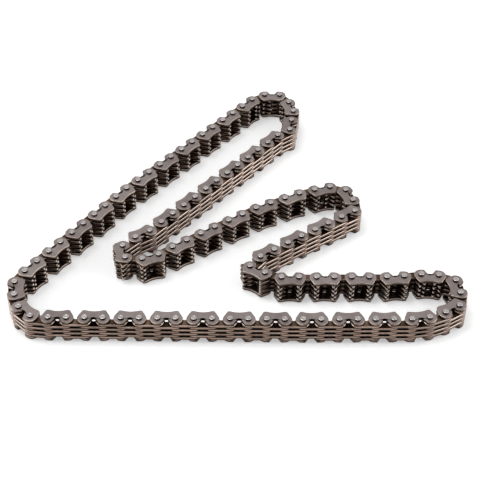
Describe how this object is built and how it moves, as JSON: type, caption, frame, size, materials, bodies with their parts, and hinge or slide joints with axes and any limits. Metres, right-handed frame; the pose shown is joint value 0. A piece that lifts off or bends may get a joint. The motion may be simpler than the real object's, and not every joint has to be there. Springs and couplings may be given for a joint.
{
  "type": "silent timing chain",
  "caption": "Endless silent timing chain lying on its side in a folded loop, with toothed link plates and guide plates on upright round pins.",
  "frame": {"origin": "middle of the loop's outer box, on the plane that the lower pin ends rest on", "axes": "+X along the loop's long straight run, +Z along the pins, up"},
  "size_m": [0.1648, 0.1362, 0.0105],
  "materials": {
    "guide_steel": "tumbled spring steel, grey brown",
    "link_steel": "tempered steel, brown, with lighter sheared edges",
    "pin_steel": "ground bearing steel, bright"
  },
  "bodies": {
    "long_run": {"long_run_guide_plates": "guide_steel", "long_run_link_plates": "link_steel", "long_run_pins": "pin_steel"},
    "left_run_1": {"left_run_1_guide_plates": "guide_steel", "left_run_1_link_plates": "link_steel", "left_run_1_pins": "pin_steel"},
    "left_run_2": {"left_run_2_guide_plates": "guide_steel", "left_run_2_link_plates": "link_steel", "left_run_2_pins": "pin_steel"},
    "left_run_3": {"left_run_3_guide_plates": "guide_steel", "left_run_3_link_plates": "link_steel", "left_run_3_pins": "pin_steel"},
    "top_bend": {"top_bend_guide_plates": "guide_steel", "top_bend_link_plates": "link_steel", "top_bend_pins": "pin_steel"},
    "return_run_1": {"return_run_1_guide_plates": "guide_steel", "return_run_1_link_plates": "link_steel", "return_run_1_pins": "pin_steel"},
    "return_run_2": {"return_run_2_guide_plates": "guide_steel", "return_run_2_link_plates": "link_steel", "return_run_2_pins": "pin_steel"},
    "return_run_3": {"return_run_3_guide_plates": "guide_steel", "return_run_3_link_plates": "link_steel", "return_run_3_pins": "pin_steel"},
    "inner_fold": {"inner_fold_guide_plates": "guide_steel", "inner_fold_link_plates": "link_steel", "inner_fold_pins": "pin_steel"},
    "rising_run_1": {"rising_run_1_guide_plates": "guide_steel", "rising_run_1_link_plates": "link_steel", "rising_run_1_pins": "pin_steel"},
    "rising_run_2": {"rising_run_2_guide_plates": "guide_steel", "rising_run_2_link_plates": "link_steel", "rising_run_2_pins": "pin_steel"},
    "middle_bend": {"middle_bend_guide_plates": "guide_steel", "middle_bend_link_plates": "link_steel", "middle_bend_pins": "pin_steel"},
    "falling_run_1": {"falling_run_1_guide_plates": "guide_steel", "falling_run_1_link_plates": "link_steel", "falling_run_1_pins": "pin_steel"},
    "falling_run_2": {"falling_run_2_guide_plates": "guide_steel", "falling_run_2_link_plates": "link_steel", "falling_run_2_pins": "pin_steel"},
    "lower_fold": {"lower_fold_guide_plates": "guide_steel", "lower_fold_link_plates": "link_steel", "lower_fold_pins": "pin_steel"},
    "short_run_1": {"short_run_1_guide_plates": "guide_steel", "short_run_1_link_plates": "link_steel", "short_run_1_pins": "pin_steel"},
    "short_run_2": {"short_run_2_guide_plates": "guide_steel", "short_run_2_link_plates": "link_steel", "short_run_2_pins": "pin_steel"},
    "right_bend": {"right_bend_guide_plates": "guide_steel", "right_bend_link_plates": "link_steel", "right_bend_pins": "pin_steel"},
    "near_run_1": {"near_run_1_guide_plates": "guide_steel", "near_run_1_link_plates": "link_steel", "near_run_1_pins": "pin_steel"},
    "near_run_2": {"near_run_2_guide_plates": "guide_steel", "near_run_2_link_plates": "link_steel", "near_run_2_pins": "pin_steel"}
  },
  "joints": [
    {"name": "top_finger_swing", "type": "hinge", "parent": "long_run", "child": "left_run_1", "pos_m": [-0.04338, 0.00368, 0.00526], "axis": [0, 0, 1], "range_deg": [-5, 18]},
    {"name": "left_run_pin_2", "type": "hinge", "parent": "left_run_1", "child": "left_run_2", "pos_m": [-0.02705, 0.02314, 0.00526], "axis": [0, 0, 1], "range_deg": [-5, 18]},
    {"name": "left_run_pin_3", "type": "hinge", "parent": "left_run_2", "child": "left_run_3", "pos_m": [-0.01072, 0.0426, 0.00526], "axis": [0, 0, 1], "range_deg": [-18, 5]},
    {"name": "top_bend_pin", "type": "hinge", "parent": "left_run_3", "child": "top_bend", "pos_m": [0.00561, 0.06205, 0.00526], "axis": [0, 0, 1], "range_deg": [-18, 5]},
    {"name": "return_run_pin_1", "type": "hinge", "parent": "top_bend", "child": "return_run_1", "pos_m": [0.01608, 0.03785, 0.00526], "axis": [0, 0, 1], "range_deg": [-5, 18]},
    {"name": "return_run_pin_2", "type": "hinge", "parent": "return_run_1", "child": "return_run_2", "pos_m": [-0.00025, 0.01839, 0.00526], "axis": [0, 0, 1], "range_deg": [-5, 18]},
    {"name": "return_run_pin_3", "type": "hinge", "parent": "return_run_2", "child": "return_run_3", "pos_m": [-0.01657, -0.00106, 0.00526], "axis": [0, 0, 1], "range_deg": [-18, 5]},
    {"name": "inner_fold_pin", "type": "hinge", "parent": "return_run_3", "child": "inner_fold", "pos_m": [-0.0329, -0.02052, 0.00526], "axis": [0, 0, 1], "range_deg": [-18, 5]},
    {"name": "middle_finger_swing", "type": "hinge", "parent": "inner_fold", "child": "rising_run_1", "pos_m": [-0.02397, -0.02931, 0.00526], "axis": [0, 0, 1], "range_deg": [-10, 8]},
    {"name": "rising_run_pin_2", "type": "hinge", "parent": "rising_run_1", "child": "rising_run_2", "pos_m": [-0.00856, -0.01811, 0.00526], "axis": [0, 0, 1], "range_deg": [-10, 8]},
    {"name": "middle_bend_pin", "type": "hinge", "parent": "rising_run_2", "child": "middle_bend", "pos_m": [0.00704, -0.00718, 0.00526], "axis": [0, 0, 1], "range_deg": [-16, 20]},
    {"name": "falling_run_pin_1", "type": "hinge", "parent": "middle_bend", "child": "falling_run_1", "pos_m": [0.03954, -0.0118, 0.00526], "axis": [0, 0, 1], "range_deg": [-20, 16]},
    {"name": "falling_run_pin_2", "type": "hinge", "parent": "falling_run_1", "child": "falling_run_2", "pos_m": [0.02393, -0.02273, 0.00526], "axis": [0, 0, 1], "range_deg": [-8, 10]},
    {"name": "lower_fold_pin", "type": "hinge", "parent": "falling_run_2", "child": "lower_fold", "pos_m": [0.00852, -0.03392, 0.00526], "axis": [0, 0, 1], "range_deg": [-8, 10]},
    {"name": "right_finger_swing", "type": "hinge", "parent": "long_run", "child": "near_run_2", "pos_m": [0.02313, -0.06538, 0.00526], "axis": [0, 0, 1], "range_deg": [-15, 15]},
    {"name": "near_run_pin_2", "type": "hinge", "parent": "near_run_2", "child": "near_run_1", "pos_m": [0.04218, -0.06505, 0.00526], "axis": [0, 0, 1], "range_deg": [-15, 15]},
    {"name": "right_bend_pin", "type": "hinge", "parent": "near_run_1", "child": "right_bend", "pos_m": [0.06123, -0.06471, 0.00526], "axis": [0, 0, 1], "range_deg": [-30, 30]},
    {"name": "short_run_pin_2", "type": "hinge", "parent": "right_bend", "child": "short_run_2", "pos_m": [0.05411, -0.04397, 0.00526], "axis": [0, 0, 1], "range_deg": [-30, 30]},
    {"name": "short_run_pin_1", "type": "hinge", "parent": "short_run_2", "child": "short_run_1", "pos_m": [0.03506, -0.0443, 0.00526], "axis": [0, 0, 1], "range_deg": [-15, 15]}
  ],
  "couplings": [
    {"joint": "left_run_pin_2", "follows": "top_finger_swing", "ratio": 1},
    {"joint": "left_run_pin_3", "follows": "top_finger_swing", "ratio": -1},
    {"joint": "top_bend_pin", "follows": "top_finger_swing", "ratio": -1},
    {"joint": "return_run_pin_1", "follows": "top_finger_swing", "ratio": 1},
    {"joint": "return_run_pin_2", "follows": "top_finger_swing", "ratio": 1},
    {"joint": "return_run_pin_3", "follows": "top_finger_swing", "ratio": -1},
    {"joint": "inner_fold_pin", "follows": "top_finger_swing", "ratio": -1},
    {"joint": "rising_run_pin_2", "follows": "middle_finger_swing", "ratio": 1},
    {"joint": "middle_bend_pin", "follows": "middle_finger_swing", "ratio": -2},
    {"joint": "falling_run_pin_1", "follows": "middle_finger_swing", "ratio": 2},
    {"joint": "falling_run_pin_2", "follows": "middle_finger_swing", "ratio": -1},
    {"joint": "lower_fold_pin", "follows": "middle_finger_swing", "ratio": -1},
    {"joint": "near_run_pin_2", "follows": "right_finger_swing", "ratio": 1},
    {"joint": "right_bend_pin", "follows": "right_finger_swing", "ratio": -2},
    {"joint": "short_run_pin_2", "follows": "right_finger_swing", "ratio": 2},
    {"joint": "short_run_pin_1", "follows": "right_finger_swing", "ratio": -1}
  ]
}
